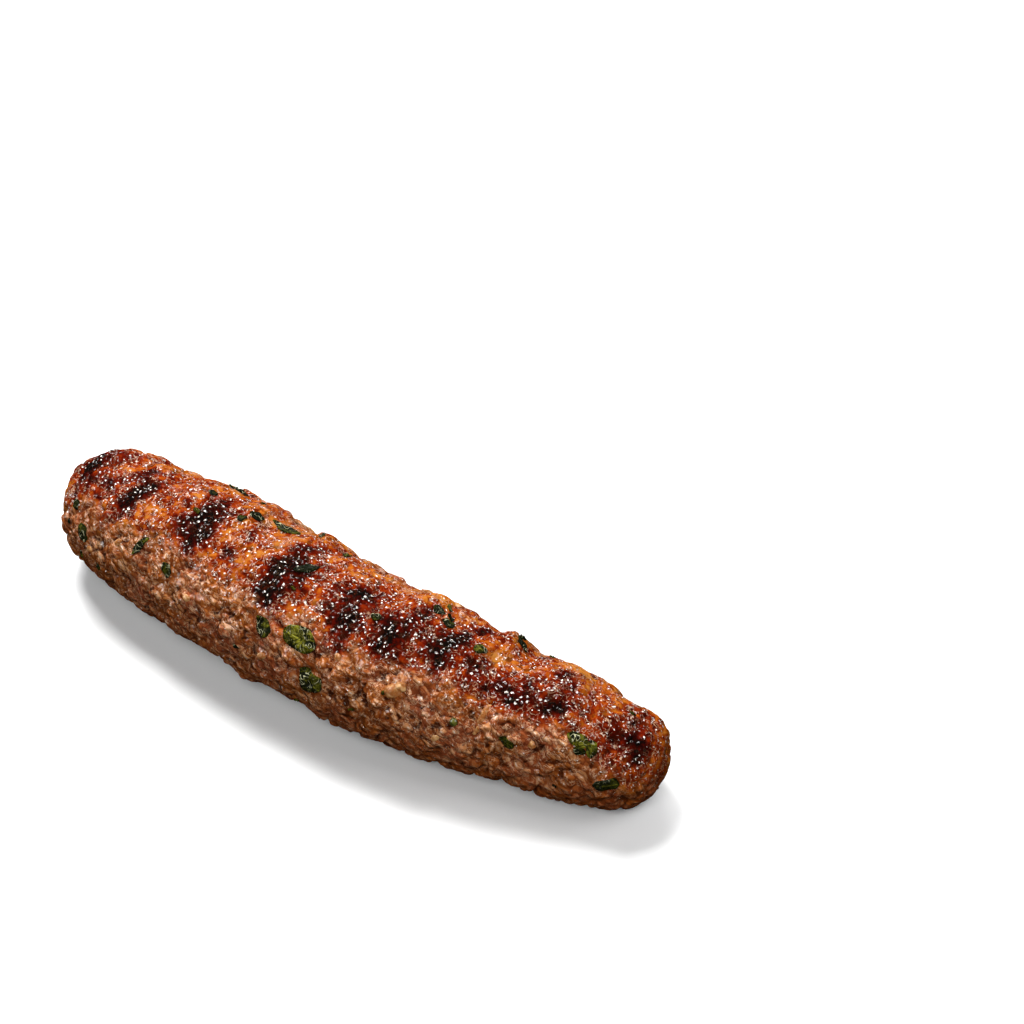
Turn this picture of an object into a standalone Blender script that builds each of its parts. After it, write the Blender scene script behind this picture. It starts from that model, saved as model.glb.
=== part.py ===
"""A grilled kofta: seasoned mince pressed by hand into a long roll, lying on its underside.

Metres, +Z up. The roll lies along X, and the origin is at the middle of the flat spot
that it rests on. Angles go round the roll: 0 faces -Y, 90 is the top and 180 faces +Y.
"""

import math

import bmesh
import bpy
import numpy as np
from mathutils import Matrix, Vector, noise

LENGTH = 0.155
FLATNESS = 0.045  # how much wider than high a section is, as a share of its girth
START_CAP = 0.0150  # length of the rounded nose at -X
FINISH_CAP = 0.0140  # length of the rounded nose at +X
START_BLUNTNESS = 2.3  # 2 is an ellipse, and more is blunter
FINISH_BLUNTNESS = 2.6

# Sections along the roll: share of the half length, half the thickness, place towards +Y.
SECTIONS = (
    (-1.0, 0.0118, 0.0066),
    (-0.7, 0.0153, 0.0017),
    (-0.4, 0.0168, 0.0004),
    (0.0, 0.0168, -0.0017),
    (0.3, 0.0163, -0.0015),
    (0.6, 0.0143, 0.0020),
    (1.0, 0.0106, 0.0078),
)
SECTION_BLEND = 0.12  # share of the half length over which one section runs into the next

START_LIFT = 0.0026  # how far the nose at -X stands off the rest plane
REST_DEPTH = 0.0009  # how much of the round underside is pressed flat

RINGS = 94
SEGMENTS = 48
PROFILE_STEPS = 4000

LUMP_SIZE = 0.011  # spacing of the uneven swellings that a hand leaves
LUMP_HEIGHT = 0.0006
KNOB_SIZE = 0.0048  # spacing of the smaller knobs of packed mince
KNOB_HEIGHT = 0.00034

MEAT_COLOR = (0.27, 0.115, 0.055, 1.0)
MEAT_ROUGHNESS = 0.42

# Ridges and knobs that stand proud where the meat was squeezed between the fingers:
# place along X, angle, reach along X, reach round the roll, height, lean.
# The lean is how far a ridge moves along X in a quarter turn up and over the roll.
RIDGES = (
    (-0.0625, 118, 0.0060, 42, 0.0010, 0.002),
    (-0.0380, 112, 0.0065, 40, 0.0011, 0.004),
    (-0.0250, 118, 0.0036, 36, 0.0015, 0.004),
    (-0.0095, 122, 0.0035, 30, 0.0013, 0.003),
    (0.0210, 118, 0.0038, 34, 0.0016, 0.004),
    (0.0395, 126, 0.0026, 20, 0.0024, 0.002),
    (0.0560, 114, 0.0056, 40, 0.0018, 0.004),
)

# Creases between the ridges, and seams where the roll was pressed closed.
CREASES = (
    (-0.0480, 116, 0.0036, 34, 0.0009, 0.003),
    (-0.0160, 116, 0.0034, 34, 0.0010, 0.003),
    (-0.0045, 118, 0.0030, 30, 0.0008, 0.003),
    (0.0135, 112, 0.0040, 34, 0.0010, 0.004),
    (0.0315, 110, 0.0030, 30, 0.0006, 0.004),
    (0.0440, 112, 0.0030, 34, 0.0014, 0.003),
    (0.0315, 20, 0.0020, 26, 0.0012, 0.001),
    (0.0490, -12, 0.0026, 32, 0.0014, 0.002),
    (0.0600, 24, 0.0026, 20, 0.0008, 0.003),
)

SIDE_RIDGES = 7  # further ridges round the back, where the roll was turned on the grill
SIDE_RIDGE_ANGLE = 205
SIDE_RIDGE_SPREAD = 42
SIDE_RIDGE_HEIGHT = 0.0009


def clear_scene():
    for obj in list(bpy.data.objects):
        bpy.data.objects.remove(obj, do_unlink=True)


def section_at(x, column):
    """A column of SECTIONS at a place along the roll, with the steps between sections smoothed."""
    along = 2 * x / LENGTH
    nearby = np.linspace(along - SECTION_BLEND, along + SECTION_BLEND, 5)
    shares = [section[0] for section in SECTIONS]
    values = [section[column] for section in SECTIONS]
    return float(np.interp(nearby, shares, values).mean())


def girth_at(x):
    """Half the thickness at a place along the roll."""
    return section_at(x, 1)


def nose(x):
    """Share of the girth left at x, which falls to nothing over the rounded noses."""
    half = LENGTH / 2
    if x < START_CAP - half:
        depth, bluntness = (START_CAP - half - x) / START_CAP, START_BLUNTNESS
    elif x > half - FINISH_CAP:
        depth, bluntness = (x - half + FINISH_CAP) / FINISH_CAP, FINISH_BLUNTNESS
    else:
        return 1.0
    return max(0.0, 1 - min(depth, 1) ** bluntness) ** (1 / bluntness)


def even_stations():
    """Places along X whose rings lie evenly apart along the outline, noses included."""
    turn = np.linspace(-math.pi / 2, math.pi / 2, PROFILE_STEPS)
    xs = np.sin(turn) * LENGTH / 2
    radii = np.array([nose(x) * girth_at(x) for x in xs])
    run = np.concatenate([[0], np.cumsum(np.hypot(np.diff(xs), np.diff(radii)))])
    return np.interp(np.linspace(0, run[-1], RINGS + 2), run, xs)


def spine_at(x):
    """Middle of the section at x, over the rest plane. The -X nose lifts off that plane."""
    lifted = max(0.0, -2 * x / LENGTH) ** 3
    height = girth_at(x) * (1 - FLATNESS) - REST_DEPTH
    return Vector((x, section_at(x, 2), height + START_LIFT * lifted))


def wrapped(angle):
    """An angle in degrees, from -180 to 180."""
    return (angle + 180) % 360 - 180


def swell(x, angle, ridge):
    """Height of one ridge at a place on the roll."""
    place, centre, reach, spread, height, lean = ridge
    turn = wrapped(angle - centre)
    along = x - place - lean * turn / 90
    return height * math.exp(-((along / reach) ** 2) - (turn / spread) ** 2)


def back_ridges():
    """The ridges of the far side, which lie between those of the near side."""
    spacing = LENGTH * 0.8 / SIDE_RIDGES
    for number in range(SIDE_RIDGES):
        place = (number - (SIDE_RIDGES - 1) / 2) * spacing + 0.003 * math.sin(5.1 * number)
        reach = 0.0048 + 0.0012 * math.sin(2.3 * number)
        yield (place, SIDE_RIDGE_ANGLE, reach, SIDE_RIDGE_SPREAD, SIDE_RIDGE_HEIGHT, 0.003)


def relief(point, x, angle, ridges):
    """How far the surface stands out from the plain roll at a place."""
    lumps = LUMP_HEIGHT * noise.noise(point / LUMP_SIZE)
    knobs = KNOB_HEIGHT * noise.noise(point / KNOB_SIZE + Vector((7, 3, 5)))
    proud = sum(swell(x, angle, ridge) for ridge in ridges)
    pressed = sum(swell(x, angle, crease) for crease in CREASES)
    return lumps + knobs + proud - pressed


def surface_point(x, angle, ridges):
    """A place on the finished roll, before its underside is pressed flat."""
    turn = math.radians(angle)
    across = Vector((0, -math.cos(turn), math.sin(turn)))
    girth = girth_at(x)
    shape = nose(x)
    section = Vector((0, across.y * (1 + FLATNESS), across.z * (1 - FLATNESS)))
    plain = spine_at(x) + section * girth * shape
    out = relief(plain, x, angle, ridges)
    along = Vector((math.copysign(1 - shape, x), 0, 0))
    return plain + (across * shape + along) * out


def shape_roll(mesh):
    """Spreads a sphere's rings along the roll, and presses flat what is below the rest plane."""
    stations = even_stations()
    ridges = RIDGES + tuple(back_ridges())
    for vertex in mesh.verts:
        polar = math.acos(max(-1.0, min(1.0, -vertex.co.x)))
        ring = round(polar / math.pi * (RINGS + 1))
        angle = math.degrees(math.atan2(vertex.co.z, -vertex.co.y))
        place = surface_point(float(stations[ring]), angle, ridges)
        place.z = max(0.0, place.z)
        vertex.co = place


def centre_on_rest(mesh):
    """Moves the roll so that the origin is at the middle of its box, on the rest plane."""
    low = Vector([min(v.co[axis] for v in mesh.verts) for axis in range(3)])
    high = Vector([max(v.co[axis] for v in mesh.verts) for axis in range(3)])
    middle = (low + high) / 2
    bmesh.ops.translate(mesh, verts=mesh.verts, vec=(-middle.x, -middle.y, -low.z))


def meat_material():
    material = bpy.data.materials.new("grilled_mince")
    material.use_nodes = True
    shader = material.node_tree.nodes["Principled BSDF"]
    shader.inputs["Base Color"].default_value = MEAT_COLOR
    shader.inputs["Roughness"].default_value = MEAT_ROUGHNESS
    shader.inputs["Metallic"].default_value = 0.0
    return material


def make_roll(collection):
    mesh = bmesh.new()
    bmesh.ops.create_uvsphere(mesh, u_segments=SEGMENTS, v_segments=RINGS + 1, radius=1)
    lay_down = Matrix.Rotation(math.pi / 2, 3, "Y")
    bmesh.ops.rotate(mesh, verts=mesh.verts, cent=(0, 0, 0), matrix=lay_down)
    shape_roll(mesh)
    centre_on_rest(mesh)
    bmesh.ops.recalc_face_normals(mesh, faces=mesh.faces)
    data = bpy.data.meshes.new("kofta")
    mesh.to_mesh(data)
    mesh.free()
    data.shade_smooth()
    data.materials.append(meat_material())
    roll = bpy.data.objects.new("kofta", data)
    collection.objects.link(roll)
    return roll


def main():
    clear_scene()
    collection = bpy.data.collections.new("grilled_kofta")
    bpy.context.scene.collection.children.link(collection)
    make_roll(collection)


main()
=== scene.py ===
"""A grilled kofta: a hand-pressed roll of seasoned mince, browned and charred on the grill."""

import math

import bpy
import numpy as np
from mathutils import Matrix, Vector, kdtree, noise
from mathutils.bvhtree import BVHTree


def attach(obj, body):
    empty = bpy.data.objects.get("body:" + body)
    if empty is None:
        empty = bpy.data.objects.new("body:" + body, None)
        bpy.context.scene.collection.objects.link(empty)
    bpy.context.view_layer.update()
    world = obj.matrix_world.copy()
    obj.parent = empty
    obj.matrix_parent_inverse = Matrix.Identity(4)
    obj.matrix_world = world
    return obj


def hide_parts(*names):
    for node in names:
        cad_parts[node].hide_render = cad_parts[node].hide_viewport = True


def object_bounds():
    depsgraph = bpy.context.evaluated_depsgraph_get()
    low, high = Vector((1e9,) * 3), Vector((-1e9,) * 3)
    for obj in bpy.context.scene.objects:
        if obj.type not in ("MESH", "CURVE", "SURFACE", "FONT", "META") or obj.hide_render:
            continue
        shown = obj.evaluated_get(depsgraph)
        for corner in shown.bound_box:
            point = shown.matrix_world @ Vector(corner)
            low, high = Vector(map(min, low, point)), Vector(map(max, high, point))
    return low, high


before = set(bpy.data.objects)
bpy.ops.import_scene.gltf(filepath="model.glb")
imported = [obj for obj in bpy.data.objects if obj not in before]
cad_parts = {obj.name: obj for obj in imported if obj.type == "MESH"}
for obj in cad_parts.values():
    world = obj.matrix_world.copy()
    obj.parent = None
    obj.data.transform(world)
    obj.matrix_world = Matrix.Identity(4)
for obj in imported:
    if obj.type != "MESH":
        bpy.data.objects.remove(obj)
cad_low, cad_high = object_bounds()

# ---------------------------------------------------------------------------
# The roll
# Coarse mince, kneaded with fat and herbs and pressed round in one hand. It is one
# body of short strands, squeezed into each other, with small gaps left between them.
# ---------------------------------------------------------------------------

SKIN_GRID = 0.00046
SKIN_ROUNDING = 2  # subdivisions of the plain roll before it is remeshed
SKIN_SMOOTHING = 6
STRAND_SPACING = 0.00145
STRAND_STEP = 0.0004
STRAND_STEPS = (4, 12)
STRAND_RADIUS = (0.00060, 0.00115)
STRAND_SUNK = 0.00055  # how deep a strand's middle lies under the plain skin
STRAND_LIFT = 0.00018
STRAND_FUSE = 0.00022  # how softly strands run into each other
GAP_DEPTH = 0.00038
STRANDS_NEAR = 12  # how many strand points shape one place of the skin
DRIFT_SIZE = 0.011  # how far the way that strands lie holds before it turns
SECTION_STEP = 0.002
TOP_ANGLE = 96  # middle of the browned top, and half its width
TOP_HALF = 30
BACK_ANGLE = 204
BACK_HALF = 22
STRAND_RELIEF = 0.6  # share of the strands' height that shows on the plain side
BROWNED_LOSS = 0.15  # how much less shows where the crust has filled the gaps
WAVE_SIZE = 0.0062
WAVE_HEIGHT = 0.00070
RIPPLE_SIZE = 0.0028
RIPPLE_HEIGHT = 0.00018
LUMP_SPACING = 0.0052
LUMP_WANDER = 0.0016
CREASE_WIDTH = 0.0013
CREASE_DEPTH = 0.0012
# Folds in the side: share of the half length, angle, reach along in mm, reach round, lean, depth
# in metres.
FOLDS = (
    (0.58, 35, 1.1, 20, 0, 0.0011),
    (0.74, 10, 1.3, 26, 4, 0.0010),
    (0.86, 0, 1.2, 14, 2, 0.0007),
    (0.40, 20, 1.2, 20, 1, 0.0006),
    (-0.52, 20, 1.3, 20, -3, 0.0006),
    (-0.24, 10, 1.2, 18, 3, 0.0005),
)
SEED = 11

bpy.ops.object.select_all(action="DESELECT")
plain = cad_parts["kofta"]
roll = plain.copy()
roll.data = plain.data.copy()
roll.name = roll.data.name = "mince_roll"
roll.parent = None
for key in list(roll.keys()):
    del roll[key]
bpy.context.scene.collection.objects.link(roll)
roll.data.materials.clear()
bpy.context.view_layer.objects.active = roll
roll.select_set(True)
bpy.ops.object.mode_set(mode="EDIT")
bpy.ops.mesh.select_all(action="SELECT")
bpy.ops.mesh.remove_doubles(threshold=0.00002)
bpy.ops.mesh.tris_convert_to_quads()
bpy.ops.object.mode_set(mode="OBJECT")
bpy.ops.object.modifier_add(type="SUBSURF")
roll.modifiers[-1].levels = roll.modifiers[-1].render_levels = SKIN_ROUNDING
bpy.ops.object.modifier_apply(modifier=roll.modifiers[-1].name)
bpy.ops.object.modifier_add(type="REMESH")
roll.modifiers[-1].mode = "VOXEL"
roll.modifiers[-1].voxel_size = SKIN_GRID
bpy.ops.object.modifier_apply(modifier=roll.modifiers[-1].name)
bpy.ops.object.modifier_add(type="SMOOTH")
roll.modifiers[-1].factor = 0.5
roll.modifiers[-1].iterations = SKIN_SMOOTHING
bpy.ops.object.modifier_apply(modifier=roll.modifiers[-1].name)

count = len(roll.data.vertices)
skin = np.zeros(count * 3)
roll.data.vertices.foreach_get("co", skin)
skin = skin.reshape(-1, 3)
out = np.zeros(count * 3)
roll.data.vertices.foreach_get("normal", out)
out = out.reshape(-1, 3)
skin_tree = kdtree.KDTree(count)
for number, place in enumerate(skin):
    skin_tree.insert(place, number)
skin_tree.balance()


def drift(places, size, shift=0):
    """Smooth noise, from -1 to 1, whose swells are about that size."""
    offset = Vector((shift, shift * 1.7, -shift * 0.6))
    return np.array([noise.noise(Vector(place) / size + offset) for place in places])


def spaced(places, gap, chance):
    """Picks places in random order, none nearer than the gap to one already picked."""
    taken = {}
    picked = []
    for number in chance.permutation(len(places)):
        place = places[number]
        cell = tuple(int(v) for v in np.floor(place / gap))
        near = (
            taken.get((cell[0] + i, cell[1] + j, cell[2] + k))
            for i in (-1, 0, 1)
            for j in (-1, 0, 1)
            for k in (-1, 0, 1)
        )
        if all(other is None or np.sum((places[other] - place) ** 2) > gap * gap for other in near):
            taken[cell] = number
            picked.append(number)
    return np.array(picked)


chance = np.random.default_rng(SEED)
starts = spaced(skin, STRAND_SPACING, chance)
strands = len(starts)
radius = chance.uniform(*STRAND_RADIUS, strands)
lift = chance.normal(0, STRAND_LIFT, strands)
lift += 0.00012 * drift(skin[starts], 0.003, 2)
steps = chance.integers(*STRAND_STEPS, strands)
curl = chance.normal(0, 0.28, strands)
spot = skin[starts].copy()
up = out[starts].copy()
aim = math.tau * drift(spot, DRIFT_SIZE, 5) + chance.normal(0, 0.8, strands)
side = np.cross(up, (1.0, 0.0, 0.0))
side /= np.linalg.norm(side, axis=1)[:, None]
ahead = np.cos(aim)[:, None] * side + np.sin(aim)[:, None] * np.cross(up, side)
beads = []
for step in range(max(steps)):
    live = steps > step
    beads.append((np.flatnonzero(live), spot[live].copy()))
    spot = spot + ahead * STRAND_STEP
    for number in np.flatnonzero(live):
        hit = skin_tree.find(spot[number])[1]
        up[number] = out[hit]
        spot[number] -= np.dot(spot[number] - skin[hit], out[hit]) * out[hit]
    ahead -= np.sum(ahead * up, axis=1)[:, None] * up
    ahead += (curl + chance.normal(0, 0.12, strands))[:, None] * np.cross(up, ahead)
    ahead /= np.linalg.norm(ahead, axis=1)[:, None]
owner = np.concatenate([b[0] for b in beads])
bead = np.concatenate([b[1] for b in beads])
bead_tree = kdtree.KDTree(len(bead))
for number, place in enumerate(bead):
    bead_tree.insert(place, number)
bead_tree.balance()
near = np.array([[hit[1] for hit in bead_tree.find_n(place, STRANDS_NEAR)] for place in skin])
gap = skin[:, None, :] - bead[near]
across2 = np.sum(gap * gap, axis=2) - np.sum(gap * out[:, None, :], axis=2) ** 2
own = owner[near]
dome = np.sqrt(np.maximum(radius[own] ** 2 - across2, 0)) - STRAND_SUNK + lift[own]
dome[across2 > radius[own] ** 2] = -GAP_DEPTH
top = dome.argmax(axis=1)
rows = np.arange(count)
first = dome[rows, top]
top_owner = own[rows, top]
others = np.where(own == top_owner[:, None], -GAP_DEPTH, dome)
second = others.max(axis=1)
height = 0.5 * (first + second + np.sqrt((first - second) ** 2 + STRAND_FUSE**2)) - STRAND_FUSE / 2
proud = np.clip((height + GAP_DEPTH) / 0.0009, 0, 1)

# Where each place is round the roll: 0 faces -Y, 90 is the top.
slot_x = np.arange(cad_low[0], cad_high[0] + SECTION_STEP, SECTION_STEP)
middle_y = []
middle_z = []
for x in slot_x:
    near_x = np.abs(skin[:, 0] - x) < 0.8 * SECTION_STEP
    ring = skin[near_x] if near_x.any() else skin[[np.abs(skin[:, 0] - x).argmin()]]
    middle_y.append((ring[:, 1].min() + ring[:, 1].max()) / 2)
    middle_z.append((ring[:, 2].min() + ring[:, 2].max()) / 2)
along = skin[:, 0] * 1000
half_length = 1000 * (cad_high[0] - cad_low[0]) / 2
from_middle_y = skin[:, 1] - np.interp(skin[:, 0], slot_x, middle_y)
from_middle_z = skin[:, 2] - np.interp(skin[:, 0], slot_x, middle_z)
angle = np.degrees(np.arctan2(from_middle_z, -from_middle_y))



def turned_from(centre):
    """Degrees from an angle round the roll to each place of the skin, from -180 to 180."""
    return (angle - centre + 180) % 360 - 180


def band(centre, half, fade):
    """1 within half of an angle round the roll, falling off beyond it."""
    return np.exp(-np.maximum(np.abs(turned_from(centre)) - half, 0) ** 2 / fade**2)


browned = np.maximum(band(TOP_ANGLE, TOP_HALF, 26), 0.9 * band(BACK_ANGLE, BACK_HALF, 20))
height *= STRAND_RELIEF - BROWNED_LOSS * browned
height += WAVE_HEIGHT * drift(skin, WAVE_SIZE, 1) + RIPPLE_HEIGHT * drift(skin, RIPPLE_SIZE, 3)

# The mince parts into lumps of about 5 mm as it cooks, with creases between them.
lump_tree = kdtree.KDTree(count)
lump_middles = skin[spaced(skin, LUMP_SPACING, chance)]
for number, place in enumerate(lump_middles):
    lump_tree.insert(place, number)
lump_tree.balance()
wander = np.stack([drift(skin, 0.004, shift) for shift in (6, 7, 8)], axis=1) * LUMP_WANDER
apart = []
for place in skin + wander:
    nearest, second_nearest = lump_tree.find_n(place, 2)
    apart.append(second_nearest[2] - nearest[2])
crease = np.exp(-((np.array(apart) / CREASE_WIDTH) ** 2))
crease = crease * np.clip(0.55 + 0.9 * drift(skin, 0.008, 9), 0.1, 1.2)
height -= CREASE_DEPTH * crease * (1 - 0.45 * browned)
for place, centre, reach, spread, lean, depth in FOLDS:
    turn = turned_from(centre)
    off = ((along - place * half_length - lean * turn / 90) / reach) ** 2 + (turn / spread) ** 2
    height -= depth * np.exp(-off)
moved = skin + out * height[:, None]
moved[:, 2] = np.maximum(moved[:, 2], 0)
roll.data.vertices.foreach_set("co", moved.ravel())
roll.data.update()

strand_tint = chance.uniform(0, 1, strands)
tint = strand_tint[top_owner]

# Grill marks: share of the half length, angle, reach along in mm, reach round, lean in mm per
# quarter turn up and over, strength. The grill's bars crossed the roll as it was turned.
CHAR_MARKS = (
    (-0.88, 85, 2.2, 16, 2, 0.55),
    (-0.84, 65, 1.8, 16, 3, 0.45),
    (-0.80, 50, 1.4, 8, 2, 0.4),
    (-0.70, 100, 2.4, 12, 4, 0.9),
    (-0.66, 75, 2.2, 17, 5, 0.95),
    (-0.50, 85, 1.6, 6, 2, 0.85),
    (-0.42, 90, 2.4, 14, 5, 0.7),
    (-0.40, 65, 2.4, 16, 4, 0.95),
    (-0.28, 65, 1.6, 7, 4, 0.6),
    (-0.12, 55, 2.2, 15, 2, 0.8),
    (-0.10, 90, 2.6, 18, 2, 0.45),
    (0.12, 90, 1.9, 6, 0, 1.1),
    (0.14, 65, 2.0, 18, 0, 0.6),
    (0.26, 60, 1.5, 13, 0, 0.7),
    (0.44, 120, 1.8, 10, 2, 0.7),
    (0.42, 90, 1.7, 16, 2, 0.85),
    (0.42, 60, 1.5, 12, 2, 0.6),
    (0.70, 100, 1.5, 7, 4, 0.8),
    (0.74, 70, 2.2, 9, 4, 1.0),
    (0.82, 110, 1.0, 5, 0, 0.6),
    (0.92, 105, 1.6, 8, 0, 0.85),
    (0.94, 80, 1.2, 8, 0, 0.8),
    (0.96, 60, 1.2, 8, 0, 0.8),
)
CRUST_MARKS = (
    (-0.88, 90, 8.0, 40, 2, 0.85),
    (-0.80, 75, 4.5, 30, 3, 0.6),
    (-0.66, 85, 5.6, 36, 6, 0.75),
    (-0.56, 110, 5.0, 20, 2, 0.5),
    (-0.40, 80, 6.2, 38, 5, 0.9),
    (-0.28, 75, 3.4, 22, 4, 0.45),
    (-0.10, 75, 6.0, 40, 3, 0.95),
    (0.02, 90, 3.0, 16, 2, 0.4),
    (0.14, 75, 5.6, 36, 1, 0.85),
    (0.26, 70, 5.2, 34, 2, 0.95),
    (0.30, 95, 4.4, 18, 2, 0.7),
    (0.42, 85, 5.6, 42, 3, 0.9),
    (0.54, 70, 5.0, 18, 3, 0.95),
    (0.64, 70, 3.8, 20, 3, 0.95),
    (0.74, 85, 5.0, 34, 4, 0.7),
    (0.92, 85, 5.6, 52, 0, 0.75),
)
BACK_MARKS = 9
BACK_REACH = 0.825  # share of the half length that the marks of the back take up
ENDS_START = 66  # mm from the middle where the browning of the ends begins
ENDS_FADE = 9
UNDERSIDE_SHADE_HEIGHT = 0.017  # below this the side gets painted shade, darker towards the underside


def marked(marks):
    """How strongly a set of marks covers each place of the skin."""
    cover = np.zeros(count)
    for place, centre, reach, spread, lean, strength in marks:
        turn = turned_from(centre)
        off = ((along - place * half_length - lean * turn / 90) / reach) ** 2 + (turn / spread) ** 2
        cover = np.maximum(cover, strength * np.exp(-(off**1.3)))
    return cover


back_char = []
back_crust = []
for number in range(BACK_MARKS):
    place = BACK_REACH * (2 * (number + 0.35 * math.sin(3.7 * number)) / (BACK_MARKS - 1) - 1)
    spread = 20 + 9 * math.sin(2.1 * number)
    back_char.append((place, 206, 2.0 + 0.7 * math.sin(4.3 * number), spread, 3, 0.95))
    back_crust.append((place, 204, 4.6, spread + 16, 3, 0.95))
char = marked(CHAR_MARKS + tuple(back_char))
crust = marked(CRUST_MARKS + tuple(back_crust))
# The shoulder towards the front is done more, and the far side of the top less.
crust = crust + 0.16 * np.exp(-(((angle - 62) / 16) ** 2)) - 0.14 * np.exp(-(((angle - 122) / 18) ** 2))
crust = np.clip(crust, 0, 1)
ends = np.clip((np.abs(along) - ENDS_START) / ENDS_FADE, 0, 1)
browned = np.clip(browned + 0.5 * ends, 0, 1)
# How near each place is to the underside; this sets the painted shade there.
low = np.clip(1 - moved[:, 2] / UNDERSIDE_SHADE_HEIGHT, 0, 1)


def paint_on(mesh, name, values):
    layer = mesh.attributes.new(name, "FLOAT", "POINT")
    layer.data.foreach_set("value", np.asarray(values, np.float32))


for name, values in (
    ("tint", tint),
    ("proud", proud),
    ("crease", np.clip(crease, 0, 1)),
    ("char", char),
    ("crust", crust),
    ("browned", browned),
    ("low", low),
):
    paint_on(roll.data, name, values)
bpy.ops.object.shade_smooth()


CELL_SOFTNESS = 0.55  # how far smooth cells run into each other


class Paint:
    """A socket of a material's nodes. Sums add Math nodes, and make adds any other node."""

    def __init__(self, tree, socket=None):
        self.tree = tree
        self.socket = socket

    def make(self, kind, settings=None, inputs=None, output=0):
        new = self.tree.nodes.new(kind)
        for name, value in (settings or {}).items():
            if name == "stops":
                while len(new.color_ramp.elements) < len(value):
                    new.color_ramp.elements.new(0.5)
                for element, (at, color) in zip(new.color_ramp.elements, value):
                    element.position = at
                    element.color = color
            else:
                setattr(new, name, value)
        for name, value in (inputs or {}).items():
            if isinstance(value, Paint):
                self.tree.links.new(value.socket, new.inputs[name])
            else:
                new.inputs[name].default_value = value
        return Paint(self.tree, new.outputs[output])

    def math(self, operation, *others, clamp=False):
        inputs = {0: self}
        for number, other in enumerate(others):
            inputs[number + 1] = other
        return self.make("ShaderNodeMath", {"operation": operation, "use_clamp": clamp}, inputs)

    def __add__(self, other):
        return self.math("ADD", other)

    def __sub__(self, other):
        return self.math("SUBTRACT", other)

    def __mul__(self, other):
        return self.math("MULTIPLY", other)

    def __truediv__(self, other):
        return self.math("DIVIDE", other)

    def __rsub__(self, other):
        return self.math("MULTIPLY_ADD", -1.0, other)

    __radd__ = __add__
    __rmul__ = __mul__

    def clamp(self):
        return self.math("ADD", 0.0, clamp=True)

    def step(self, low, high):
        """0 below low and 1 above high, with a soft rise between them."""
        return self.make(
            "ShaderNodeMapRange",
            {"interpolation_type": "SMOOTHSTEP"},
            {"Value": self, "From Min": low, "From Max": high},
        )

    def crest(self):
        """1 along the winding lines where a noise crosses its middle, falling off beside them."""
        return 1 - (self * 2 - 1).math("ABSOLUTE")

    def mix(self, first, second):
        """A colour between two, by this value."""
        return self.make(
            "ShaderNodeMix",
            {"data_type": "RGBA", "clamp_factor": True},
            {0: self, 6: first, 7: second},
            output=2,
        )

    def attribute(self, name):
        return self.make("ShaderNodeAttribute", {"attribute_name": name}, output="Fac")

    def noise(self, place, size, detail=2.0, roughness=0.5, distortion=0.0):
        return self.make(
            "ShaderNodeTexNoise",
            {"noise_dimensions": "3D"},
            {
                "Vector": place,
                "Scale": 1 / size,
                "Detail": detail,
                "Roughness": roughness,
                "Distortion": distortion,
            },
        )

    def cells(self, place, size, output="Distance", feature="F1"):
        inputs = {"Vector": place, "Scale": 1 / size}
        if feature == "SMOOTH_F1":
            inputs["Smoothness"] = CELL_SOFTNESS
        return self.make("ShaderNodeTexVoronoi", {"feature": feature}, inputs, output=output)


def material(name):
    """A new material, its shader and a Paint that adds its nodes."""
    made = bpy.data.materials.new(name)
    made.use_nodes = True
    shader = made.node_tree.nodes["Principled BSDF"]
    return made, shader, Paint(made.node_tree)


# The grains of mince on the plain side lie drawn out along a slant where it was pressed.
GRAIN_WIDTH = 0.0013
GRAIN_STRETCH = 2.0
GRAIN_SLANT = 32
DROPLET_SPACING = 0.00100

mince, shader, paint = material("grilled_mince")
place = paint.make("ShaderNodeTexCoord", output="Object")
tint_at = paint.attribute("tint")
proud_at = paint.attribute("proud")
crease_at = paint.attribute("crease")
char_at = paint.attribute("char")
crust_at = paint.attribute("crust")
browned_at = paint.attribute("browned")
underside_shade_at = paint.attribute("low")


def warped(paint, place, size, reach):
    """The place, moved about by a noise so that what is laid on it comes out uneven."""
    inputs = {"Vector": place, "Scale": 1 / size, "Detail": 1.0}
    way = paint.make("ShaderNodeTexNoise", {}, inputs, output="Color")
    way = paint.make("ShaderNodeVectorMath", {"operation": "SUBTRACT"}, {0: way, 1: (0.5, 0.5, 0.5)})
    way = paint.make("ShaderNodeVectorMath", {"operation": "SCALE"}, {0: way, "Scale": reach})
    return paint.make("ShaderNodeVectorMath", {"operation": "ADD"}, {0: place, 1: way})


bent = warped(paint, place, 0.0011, 0.0009)
drawn = paint.make(
    "ShaderNodeMapping",
    {"vector_type": "TEXTURE"},
    {
        "Vector": warped(paint, place, 0.0030, 0.0026),
        "Rotation": (0.0, math.radians(GRAIN_SLANT), 0.0),
        "Scale": (GRAIN_STRETCH, 1.0, 1.0),
    },
)
droplet = paint.cells(bent, DROPLET_SPACING)
droplet_color = paint.cells(bent, DROPLET_SPACING, output="Color")
droplet_pick = paint.make("ShaderNodeSeparateColor", {}, {0: droplet_color})
grain = paint.cells(drawn, GRAIN_WIDTH, feature="SMOOTH_F1")
grain_color = paint.cells(drawn, GRAIN_WIDTH, output="Color", feature="SMOOTH_F1")
grain_pick = paint.make("ShaderNodeSeparateColor", {}, {0: grain_color})
grain_edge = paint.cells(drawn, GRAIN_WIDTH, feature="DISTANCE_TO_EDGE")
streak = paint.noise(place, 0.0015, detail=1.0, distortion=1.2).crest()
furrow = paint.noise(bent, 0.0019, detail=1.0, distortion=1.6).crest()
fibre = paint.noise(place, 0.0010, detail=2.0, distortion=1.4)
patch = paint.noise(place, 0.0055, detail=2.0)
broad = paint.noise(place, 0.012, detail=2.0)
warm = paint.noise(place, 0.0075, detail=2.0)
speck = paint.noise(place, 0.0014, detail=2.0)

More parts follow.
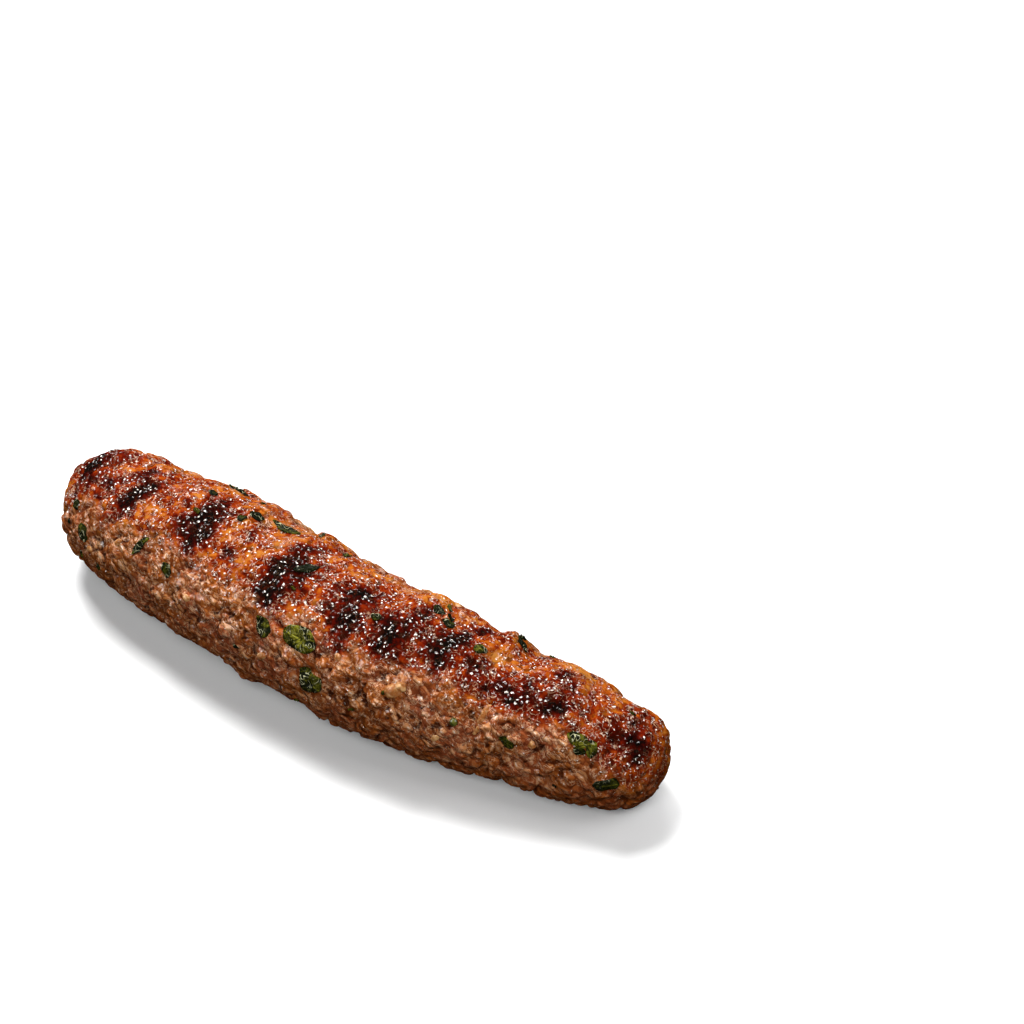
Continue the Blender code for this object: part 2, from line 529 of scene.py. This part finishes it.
# The plain side: pink-brown to amber grains with paler fat between them.
LEAN_DARK = (0.115, 0.016, 0.003, 1)
LEAN_PINK = (0.53, 0.150, 0.054, 1)
LEAN_AMBER = (0.48, 0.145, 0.022, 1)
FAT_PALE = (0.74, 0.36, 0.15, 1)
# Painted shade in the gaps between strands.
GAP_SHADE = (0.030, 0.0040, 0.0010, 1)
# Painted shade along the seams between grains and in thin dark dashes.
SEAM_SHADE_RED = (0.090, 0.0090, 0.0020, 1)
# Painted shade in the furrows.
FURROW_SHADE_RED = (0.050, 0.0050, 0.0012, 1)
# Painted highlights: a soft glow on each grain, pale dashes, streaks and thin curled strokes.
PAINTED_HIGHLIGHT_PALE = (0.85, 0.50, 0.28, 1)
# Painted shade in the creases between lumps.
CREASE_SHADE_BROWN = (0.11, 0.026, 0.006, 1)
# Painted shade on the underside.
UNDERSIDE_SHADE_BROWN = (0.200, 0.042, 0.004, 1)
# What browning turns it into, from least to most done.
BROWNING = (
    (0.00, (0.50, 0.180, 0.026, 1)),
    (0.22, (0.38, 0.085, 0.006, 1)),
    (0.38, (0.24, 0.024, 0.0025, 1)),
    (0.56, (0.110, 0.0060, 0.0014, 1)),
    (0.76, (0.034, 0.0020, 0.0011, 1)),
    (0.92, (0.004, 0.0024, 0.0020, 1)),
)
# Painted highlight at the middle of wet droplets and grains.
PAINTED_GLINT_CREAM = (0.95, 0.86, 0.74, 1)

lightness = (tint_at * 0.15 + grain_pick * 0.35 + patch * 0.8 + fibre * 0.2 - 0.14).clamp()
lean = (warm.step(0.35, 0.58) * 0.9).mix(LEAN_PINK, LEAN_AMBER)
color = lightness.mix(LEAN_DARK, lean)
fatty = (grain_pick + patch * 0.5 + tint_at * 0.15).step(1.05, 1.25)
color = (fatty * 0.5).mix(color, FAT_PALE)
# Painted shade in the seams between the grains.
seam_shade = 1 - grain_edge.step(0.02, 0.16)
color = (seam_shade * 0.60).mix(color, SEAM_SHADE_RED)
# Painted highlight: a soft pale glow on each grain.
grain_highlight = (1 - grain / (grain_pick * 0.25 + 0.15)).step(0.0, 0.6) * (speck + patch - 0.5).step(0.25, 0.6)
color = (grain_highlight * 0.65).mix(color, PAINTED_HIGHLIGHT_PALE)
# Painted shade: thin dark dashes among the grains.
shade_dash = paint.noise(drawn, 0.0013, detail=1.0, distortion=1.0).crest().step(0.88, 0.98)
color = (shade_dash * (fibre - 0.1).step(0.3, 0.5) * 0.6).mix(color, SEAM_SHADE_RED)
# Painted highlight: pale dashes, fewer towards the underside.
highlight_dash = paint.noise(drawn, 0.0009, detail=1.0, distortion=1.2).crest().step(0.90, 0.99)
color = (highlight_dash * (speck - 0.1).step(0.32, 0.46) * (0.75 - underside_shade_at * 0.65)).mix(color, PAINTED_HIGHLIGHT_PALE)
# Painted shade in the creases between lumps.
color = (crease_at * 0.5).mix(color, CREASE_SHADE_BROWN)

doneness = (
    crust_at * 0.47
    + char_at * 0.42
    + (patch - 0.5) * 1.0
    + (speck - 0.5) * 0.75
    + (fibre - 0.5) * 0.35
    + (tint_at - 0.5) * 0.2
    + 0.29
)
browning = paint.make("ShaderNodeValToRGB", {"stops": BROWNING}, {0: doneness})
charred = doneness.step(0.5, 0.8)
gold_cover = (
    browned_at * 1.1
    + crust_at * 0.5
    + (broad - 0.5) * 1.6
    + (patch - 0.5) * 1.3
    + (speck - 0.5) * 0.25
    - 0.1
).step(0.2, 0.9)
color = gold_cover.mix(color, browning)
# Painted shade: the gaps between strands, where the skin lies low, are darkened.
gap_shade_cover = (1 - proud_at.step(0.0, 0.36)) * (0.9 - gold_cover * 0.3)
color = gap_shade_cover.mix(color, GAP_SHADE)
# Painted shade in the furrows, where the relief also dips.
furrow_cover = furrow.step(0.88, 0.99) * (speck - 0.1).step(0.25, 0.5) * (gold_cover * 0.6 + 0.4)
color = (furrow_cover * 0.65).mix(color, FURROW_SHADE_RED)
# Painted highlight: pale streaks, and thin curled strokes on the browned top.
streak_cover = streak.step(0.88, 0.98) * (speck - 0.1).step(0.3, 0.45) * (1 - charred)
color = (streak_cover * 0.2).mix(color, PAINTED_HIGHLIGHT_PALE)
highlight_hair = streak.step(0.95, 0.99) * gold_cover * (speck - 0.1).step(0.34, 0.46) * (1 - charred * 0.92)
color = (highlight_hair * 0.52).mix(color, PAINTED_HIGHLIGHT_PALE)
# Painted shade towards the underside.
color = (underside_shade_at * 0.65).mix(color, UNDERSIDE_SHADE_BROWN)

# Droplets of clear fat stand on the crust, each with a painted highlight in its middle. On the
# plain side the grains of mince themselves are wet, with painted highlight spots on some.
wetness = gold_cover * 1.0 + (patch - 0.5) * 0.4 + 0.42
wet_here = (wetness - droplet_pick * 0.55).step(0.12, 0.4)
dome = (1 - droplet * droplet * 7.7).clamp()
droplet_glint = (1 - droplet / (droplet_pick * 0.16 + 0.105)).step(0.0, 0.45) * wet_here
grain_dome = (1 - grain * grain * 2.2).clamp()
grain_wet = grain_dome.step(0.25, 0.6) * (1 - gold_cover) * (grain_pick + 0.1).step(0.3, 0.6)
grain_glint = (1 - grain / (grain_pick * 0.12 + 0.06)).step(0.0, 0.7) * (1 - gold_cover)
grain_glint = grain_glint * (speck + grain_pick - 0.5).step(0.35, 0.6)
# Painted highlights: a cream spot in the middle of each wet droplet and on some grains.
wet_color = (droplet_glint + grain_glint * 0.7).clamp().mix(color, PAINTED_GLINT_CREAM)

DRY_ROUGHNESS = 0.45
FILM_ROUGHNESS = 0.11
FILM_SHINE = 0.6
GRAIN_HEIGHT_DRY = 0.00045
GRAIN_HEIGHT_WET = 0.00032
DROPLET_HEIGHT = 0.00018
FURROW_DEPTH = 0.00012


def bumped(paint, relief, shader):
    """Gives a shader the surface of a relief in metres."""
    bump = paint.make("ShaderNodeBump", {}, {"Strength": 1.0, "Distance": 1.0, "Height": relief})
    paint.tree.links.new(bump.socket, shader.inputs["Normal"])


mince.node_tree.links.new(color.socket, shader.inputs["Base Color"])
shader.inputs["Roughness"].default_value = DRY_ROUGHNESS
shader.inputs["Specular IOR Level"].default_value = 0.0
relief = fibre * 0.00003 + grain_dome * (1 - gold_cover) * GRAIN_HEIGHT_DRY - furrow_cover * FURROW_DEPTH
bumped(paint, relief, shader)

film = mince.node_tree.nodes.new("ShaderNodeBsdfPrincipled")
mince.node_tree.links.new(wet_color.socket, film.inputs["Base Color"])
film.inputs["Roughness"].default_value = FILM_ROUGHNESS
film.inputs["Specular IOR Level"].default_value = FILM_SHINE
relief = dome * wet_here * DROPLET_HEIGHT + grain_dome * (1 - gold_cover) * GRAIN_HEIGHT_WET
bumped(paint, relief + streak_cover * 0.00010, film)
wet_cover = dome.step(0.0, 0.2) * wet_here + streak_cover * (gold_cover * 0.3 + 0.3)
wet_cover = (wet_cover + grain_wet * 0.25 + grain_glint).clamp() * (1 - underside_shade_at * 0.75)
both = paint.make("ShaderNodeMixShader", {}, {0: wet_cover})
mince.node_tree.links.new(shader.outputs[0], both.socket.node.inputs[1])
mince.node_tree.links.new(film.outputs[0], both.socket.node.inputs[2])
mince.node_tree.links.new(both.socket, mince.node_tree.nodes["Material Output"].inputs["Surface"])
roll.data.materials.append(mince)

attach(roll, "root")
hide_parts("kofta")

# ---------------------------------------------------------------------------
# The herbs
# Parsley chopped by hand and kneaded in: torn bits of leaf, wilted dark on the grill. Each
# lies on the skin and follows its lumps, and small crumbs of leaf lie between them.
# ---------------------------------------------------------------------------

# Share of the half length, angle, length and width in mm, turn in degrees, freshness.
HERB_BITS = (
    (0.04, 35, 8.6, 5.2, -4, 0.75),
    (0.10, 10, 6.4, 4.6, -22, 0.6),
    (-0.08, 30, 5.0, 3.4, -42, 0.6),
    (-0.86, 35, 2.4, 1.4, -60, 0.4),
    (-0.78, 20, 4.2, 2.6, -60, 0.5),
    (-0.56, 35, 5.4, 1.7, 62, 0.6),
    (-0.44, 30, 3.4, 2.2, -50, 0.5),
    (-0.46, 105, 2.4, 1.5, 0, 0.1),
    (-0.44, 130, 6.0, 1.5, -8, 0.3),
    (-0.30, 105, 3.4, 2.6, 20, 0.2),
    (-0.32, 95, 2.2, 1.6, 60, 0.3),
    (-0.22, 115, 7.2, 2.4, 2, 0.5),
    (-0.06, 85, 5.6, 2.0, 40, 0.0),
    (0.20, 75, 2.2, 1.6, 10, 0.4),
    (0.32, 110, 2.8, 1.8, 10, 0.4),
    (0.36, 105, 3.0, 2.0, 0, 0.3),
    (0.48, 90, 3.0, 2.0, 30, 0.6),
    (0.54, 125, 3.8, 1.6, -10, 0.3),
    (0.66, 20, 3.6, 1.8, -20, 0.5),
    (0.82, 50, 4.8, 2.8, -6, 0.8),
    (0.86, 45, 3.6, 2.4, -70, 0.7),
    (0.84, 40, 2.6, 1.6, 10, 0.3),
    (0.92, 15, 5.4, 2.6, 14, 0.3),
)
HERB_CRUMBS = 46
HERB_LIFT = 0.00032
HERB_THICKNESS = 0.00022
HERB_FOLLOW = 0.78  # how closely a leaf follows the lumps under it, and does not span them
EDGE_SINK = 0.00030  # how far the long edges bend down into the skin
RAY_START = 0.005
TABLE_CLEAR = 0.00012  # how far bits under the roll stay off the table

bpy.ops.object.select_all(action="DESELECT")
bpy.ops.mesh.primitive_grid_add(x_subdivisions=10, y_subdivisions=6, size=2, calc_uvs=True)
leaf = bpy.context.object
leaf.name = leaf.data.name = "leaf_bit"
skin_now = BVHTree.FromObject(roll, bpy.context.evaluated_depsgraph_get())


def lay_leaf(foot, up, length, width, turn, fresh):
    """A bit of leaf of its own outline, laid on the skin and bent to follow it."""
    bit = leaf.copy()
    bit.data = leaf.data.copy()
    bpy.context.scene.collection.objects.link(bit)
    round_way = Vector((1, 0, 0)).cross(up).normalized()
    long_way = up.cross(round_way).normalized() * -1
    swing = math.radians(turn)
    ahead = long_way * math.cos(swing) + round_way * math.sin(swing)
    beside = up.cross(ahead)
    notch = chance.uniform(0, math.tau)
    taper = chance.uniform(-0.35, 0.35)
    bow = chance.uniform(-0.25, 0.25)
    places = []
    heights = []
    for vertex in bit.data.vertices:
        u, v = vertex.co.x, vertex.co.y
        half = (1 - abs(u) ** 2.1) ** 0.6 * 0.92 + 0.08
        half *= 1 + taper * u + 0.10 * math.sin(4.0 * u + notch + 1.2 * v)
        flat_place = foot + ahead * (u * length / 2) + beside * ((v * half + bow * u * u) * width / 2)
        hit = skin_now.ray_cast(flat_place + up * RAY_START, -up)[0]
        heights.append((hit - flat_place).dot(up) if hit else 0.0)
        places.append(flat_place)
    middle = sum(heights) / len(heights)
    for vertex, flat_place, rise in zip(bit.data.vertices, places, heights):
        u, v = vertex.co.x, vertex.co.y
        curl = 0.00022 * (v * v) + 0.00016 * math.sin(5 * u + notch) * math.cos(2.5 * v + notch)
        curl -= EDGE_SINK * abs(v) ** 3
        laid = HERB_FOLLOW * rise + (1 - HERB_FOLLOW) * middle
        vertex.co = flat_place + up * (laid + HERB_LIFT + curl)
        vertex.co.z = max(vertex.co.z, TABLE_CLEAR)
    layer = bit.data.attributes.new("fresh", "FLOAT", "POINT")
    layer.data.foreach_set("value", np.full(len(bit.data.vertices), fresh, np.float32))
    return bit


def skin_place(place, centre):
    """The skin's point and outward way at a share of the half length and an angle."""
    turn = turned_from(centre)
    hit = int(np.argmin((along - place * half_length) ** 2 + (0.29 * turn) ** 2))
    return Vector(moved[hit]), Vector(out[hit])


bits = []
for place, centre, length, width, turn, fresh in HERB_BITS:
    foot, up = skin_place(place, centre)
    bits.append(lay_leaf(foot, up, length / 1000, width / 1000, turn, fresh))
for number in range(HERB_CRUMBS):
    place = chance.uniform(-0.88, 0.90)
    centre = chance.uniform(130, 330) if number % 3 else chance.uniform(-20, 130)
    foot, up = skin_place(place, centre)
    length = chance.uniform(0.003, 0.0062) if number % 3 == 1 else chance.uniform(0.0010, 0.0022)
    shape = chance.uniform(0.4, 0.75)
    turn = chance.uniform(0, 180)
    bits.append(lay_leaf(foot, up, length, length * shape, turn, chance.uniform(0, 0.8)))
bpy.data.objects.remove(leaf, do_unlink=True)
bpy.ops.object.select_all(action="DESELECT")
for bit in bits:
    bit.select_set(True)
herb = bits[0]
bpy.context.view_layer.objects.active = herb
bpy.ops.object.join()
herb.name = herb.data.name = "herb_flakes"
bpy.ops.object.modifier_add(type="SOLIDIFY")
herb.modifiers[-1].thickness = HERB_THICKNESS
herb.modifiers[-1].offset = 0
bpy.ops.object.modifier_apply(modifier=herb.modifiers[-1].name)
bpy.ops.object.shade_smooth()

# The dark of burnt leaf, also used as painted shade in the leaf's folds.
HERB_BURNT_AND_SHADE = (0.006, 0.008, 0.002, 1)
HERB_DEEP = (0.036, 0.039, 0.004, 1)
HERB_GREEN = (0.220, 0.205, 0.012, 1)
HERB_VEIN = (0.50, 0.48, 0.060, 1)
# Painted highlight along the leaves' ridges.
HERB_PAINTED_GLINT = (0.80, 0.78, 0.46, 1)

green, shader, paint = material("wilted_herb")
place = paint.make("ShaderNodeTexCoord", output="Object")
leaf_map = paint.make("ShaderNodeUVMap", {"uv_map": "UVMap"})
length_at = paint.make("ShaderNodeSeparateXYZ", {}, {0: leaf_map}, output="X")
width_at = paint.make("ShaderNodeSeparateXYZ", {}, {0: leaf_map}, output="Y")
fresh_at = paint.attribute("fresh")
wave = paint.noise(place, 0.0012, detail=2.0)
spots = paint.noise(place, 0.0022, detail=2.0)
from_rib = ((width_at - 0.5).math("ABSOLUTE") + (wave - 0.5) * 0.08).clamp()
rib = 1 - from_rib.step(0.015, 0.06)
side_vein = ((length_at * 7.0 - from_rib * 5.0 + wave * 0.5).math("FRACT") - 0.5).math("ABSOLUTE")
vein = (side_vein.step(0.36, 0.49) * 0.7 + rib).clamp()
greenness = (fresh_at * 0.7 + (spots - 0.5) * 2.4 + (wave - 0.5) * 1.2 - 0.02).clamp()
leaf_color = greenness.mix(HERB_DEEP, HERB_GREEN)
leaf_color = (vein * (fresh_at * 0.8 + 0.1) * (wave - 0.1).step(0.25, 0.5)).mix(leaf_color, HERB_VEIN)
# Painted shade in the folds of the leaf, where the relief also dips.
folded = paint.noise(place, 0.0024, detail=1.0, distortion=1.8).crest()
leaf_color = (folded.step(0.78, 0.96) * 0.8).mix(leaf_color, HERB_BURNT_AND_SHADE)
burnt = (spots + (1 - fresh_at) * 0.35).step(0.56, 0.72)
leaf_color = burnt.mix(leaf_color, HERB_BURNT_AND_SHADE)
# Painted highlight: glints along winding ridges of the leaf.
glint_ridge = paint.noise(place, 0.0019, detail=0.0, distortion=1.6).crest()
glint_ridge = glint_ridge.step(0.9, 0.99) * (spots - 0.1).step(0.36, 0.52)
leaf_color = (glint_ridge * 0.7).mix(leaf_color, HERB_PAINTED_GLINT)
green.node_tree.links.new(leaf_color.socket, shader.inputs["Base Color"])
shader.inputs["Roughness"].default_value = 0.18
shader.inputs["Specular IOR Level"].default_value = 0.015
relief = vein * -0.00014 + wave * 0.0007 - folded * 0.0003
bumped(paint, relief, shader)
herb.data.materials.append(green)

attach(herb, "root")

# ---------------------------------------------------------------------------
# The fat
# Bits of tail fat kneaded in with the meat. They have turned soft, pale and shiny on the
# grill and stand a little out of the skin that holds them.
# ---------------------------------------------------------------------------

# Share of the half length, angle, length, width and height in mm, turn in degrees.
FAT_BITS = (
    (0.34, 30, 4.2, 2.8, 1.7, 30),
    (0.36, 35, 2.6, 2.0, 1.2, 10),
    (0.58, 40, 5.0, 1.5, 0.9, 82),
    (0.58, 25, 2.6, 1.4, 0.9, 70),
    (0.16, 35, 2.0, 1.5, 1.0, -40),
    (-0.06, 10, 2.4, 1.6, 1.0, 30),
    (-0.34, 20, 2.0, 1.6, 0.9, 0),
    (-0.64, 30, 2.2, 1.5, 0.9, 50),
    (-0.74, 10, 2.0, 1.5, 0.9, 10),
    (0.72, 25, 2.4, 1.6, 1.0, -20),
    (0.48, 5, 2.0, 1.4, 0.9, 40),
)
BACK_FAT = 12

bpy.ops.object.select_all(action="DESELECT")
bpy.ops.mesh.primitive_ico_sphere_add(subdivisions=3, radius=1)
drop = bpy.context.object
drop.name = drop.data.name = "fat_drop"


def lay_drop(foot, up, length, width, rise, turn, shift):
    """A rounded bit, uneven in outline, sunk by its middle into the skin."""
    bit = drop.copy()
    bit.data = drop.data.copy()
    bpy.context.scene.collection.objects.link(bit)
    round_way = Vector((1, 0, 0)).cross(up).normalized()
    long_way = round_way.cross(up)
    swing = math.radians(turn)
    ahead = long_way * math.cos(swing) + round_way * math.sin(swing)
    beside = up.cross(ahead)
    for vertex in bit.data.vertices:
        bump = 1 + 0.22 * noise.noise(vertex.co * 1.4 + Vector((shift, 0, 0)))
        u, v, w = vertex.co * bump
        vertex.co = foot + ahead * (u * length / 2) + beside * (v * width / 2) + up * (w * rise / 2)
        vertex.co.z = max(vertex.co.z, TABLE_CLEAR)
    return bit


bits = []
for number, (place, centre, length, width, rise, turn) in enumerate(FAT_BITS):
    foot, up = skin_place(place, centre)
    bits.append(lay_drop(foot, up, length / 1000, width / 1000, rise / 1000, turn, number * 3.1))
for number in range(BACK_FAT):
    foot, up = skin_place(chance.uniform(-0.82, 0.85), chance.uniform(135, 320))
    length = chance.uniform(0.0018, 0.0034)
    bits.append(lay_drop(foot, up, length, length * 0.7, length * 0.4, chance.uniform(0, 180), number * 2.3))
bpy.data.objects.remove(drop, do_unlink=True)
bpy.ops.object.select_all(action="DESELECT")
for bit in bits:
    bit.select_set(True)
fat = bits[0]
bpy.context.view_layer.objects.active = fat
bpy.ops.object.join()
fat.name = fat.data.name = "fat_bits"
bpy.ops.object.shade_smooth()

FAT_AMBER = (0.36, 0.125, 0.032, 1)
FAT_SHINE = (0.62, 0.34, 0.14, 1)
FAT_RIPPLE = 0.0004

soft_fat, shader, paint = material("soft_fat")
place = paint.make("ShaderNodeTexCoord", output="Object")
cloud = paint.noise(place, 0.0012, detail=2.0)
ripple = paint.noise(place, 0.0010, detail=1.0, distortion=1.5)
fat_color = cloud.step(0.42, 0.64).mix(FAT_AMBER, FAT_SHINE)
soft_fat.node_tree.links.new(fat_color.socket, shader.inputs["Base Color"])
shader.inputs["Roughness"].default_value = 0.12
shader.inputs["Specular IOR Level"].default_value = 0.16
bumped(paint, ripple * FAT_RIPPLE, shader)
fat.data.materials.append(soft_fat)

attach(fat, "root")

# ---------------------------------------------------------------------------
# The green peppercorn
# One soft green peppercorn from the seasoning, pressed to half its depth into the side.
# ---------------------------------------------------------------------------

PEPPERCORN_PLACE = (0.52, 25)  # share of the half length, and angle
PEPPERCORN_WIDTH = 0.0018
PEPPERCORN_PROUD = 0.12  # how far its middle stands out of the skin, as a share of its width
PEPPERCORN_DARK = (0.030, 0.034, 0.006, 1)
PEPPERCORN_GREEN = (0.12, 0.12, 0.020, 1)

bpy.ops.object.select_all(action="DESELECT")
bpy.ops.mesh.primitive_uv_sphere_add(segments=20, ring_count=12, radius=PEPPERCORN_WIDTH / 2)
pepper = bpy.context.object
pepper.name = pepper.data.name = "green_peppercorn"
bpy.ops.object.shade_smooth()
foot, up = skin_place(*PEPPERCORN_PLACE)
bpy.ops.object.mode_set(mode="EDIT")
bpy.ops.mesh.select_all(action="SELECT")
bpy.ops.transform.translate(value=foot + up * PEPPERCORN_WIDTH * PEPPERCORN_PROUD)
bpy.ops.object.mode_set(mode="OBJECT")

soft_green, shader, paint = material("soft_peppercorn")
place = paint.make("ShaderNodeTexCoord", output="Object")
cloud = paint.noise(place, 0.0007, detail=1.0)
green_color = cloud.step(0.35, 0.65).mix(PEPPERCORN_DARK, PEPPERCORN_GREEN)
soft_green.node_tree.links.new(green_color.socket, shader.inputs["Base Color"])
shader.inputs["Roughness"].default_value = 0.15
shader.inputs["Specular IOR Level"].default_value = 0.25
pepper.data.materials.append(soft_green)

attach(pepper, "root")

# ---------------------------------------------------------------------------
# The table, the light and the camera
# A round pale table on white. Fill lamps give the meat its soft light, and glint lamps show
# only as bright points in what is wet.
# ---------------------------------------------------------------------------

FLOOR_RADIUS = 0.42  # no wider than the lights keep white

bpy.ops.object.select_all(action="DESELECT")
bpy.ops.mesh.primitive_circle_add(vertices=128, radius=FLOOR_RADIUS, fill_type="NGON")
floor = bpy.context.object
floor.name = "floor"
floor_material, floor_shader = material("pale_floor")[:2]
floor_shader.inputs["Base Color"].default_value = (0.86, 0.86, 0.86, 1)
floor_shader.inputs["Roughness"].default_value = 0.6
floor.data.materials.append(floor_material)
floor.visible_glossy = False
floor.visible_diffuse = False

world = bpy.data.worlds.new("studio")
bpy.context.scene.world = world
world.use_nodes = True
world.node_tree.nodes["Background"].inputs["Color"].default_value = (1, 1, 1, 1)
world.node_tree.nodes["Background"].inputs["Strength"].default_value = 1.0
world.cycles_visibility.glossy = False
world.cycles_visibility.diffuse = False


LAMP_DISTANCE = 0.85
LAMP_AIM = Vector((0, 0, 0.015))


def ring_light(name, azimuth, rise, size, power, kind):
    """A square lamp that points at the roll, at an azimuth from +X and a rise in degrees."""
    turn, up = math.radians(azimuth), math.radians(rise)
    way = Vector((math.cos(up) * math.cos(turn), math.cos(up) * math.sin(turn), math.sin(up)))
    spot = way * LAMP_DISTANCE
    bpy.ops.object.light_add(type="AREA", location=spot)
    light = bpy.context.object
    light.name = name
    light.data.shape = "SQUARE"
    light.data.size = size
    light.data.energy = power
    light.rotation_euler = (LAMP_AIM - spot).to_track_quat("-Z", "Y").to_euler()
    light.visible_glossy = kind == "glint"
    light.visible_diffuse = kind == "fill"


ring_light("fill_key", 150, 58, 0.30, 10, "fill")
ring_light("fill_front", -70, 45, 0.5, 4.5, "fill")
ring_light("fill_right", 20, 50, 0.5, 2.5, "fill")
ring_light("fill_low", 112, 12, 0.5, 2.6, "fill")
ring_light("glint_left", 216, 38, 0.5, 20, "glint")
ring_light("glint_back", 130, 42, 0.5, 20, "glint")
ring_light("glint_right", 40, 45, 0.5, 16, "glint")

CAMERA_PLACE = (0.28234, -0.33995, 0.43094)
CAMERA_TILT = 41.04  # degrees below the level
CAMERA_TURN = 34.79
CAMERA_LENS = 100.0

camera_data = bpy.data.cameras.new("camera")
camera = bpy.data.objects.new("camera", camera_data)
bpy.context.scene.collection.objects.link(camera)
camera.location = CAMERA_PLACE
camera.rotation_euler = (math.radians(90 - CAMERA_TILT), 0, math.radians(CAMERA_TURN))
camera_data.lens = CAMERA_LENS
camera_data.sensor_width = 36
bpy.context.scene.camera = camera
bpy.context.scene.view_settings.view_transform = "Standard"
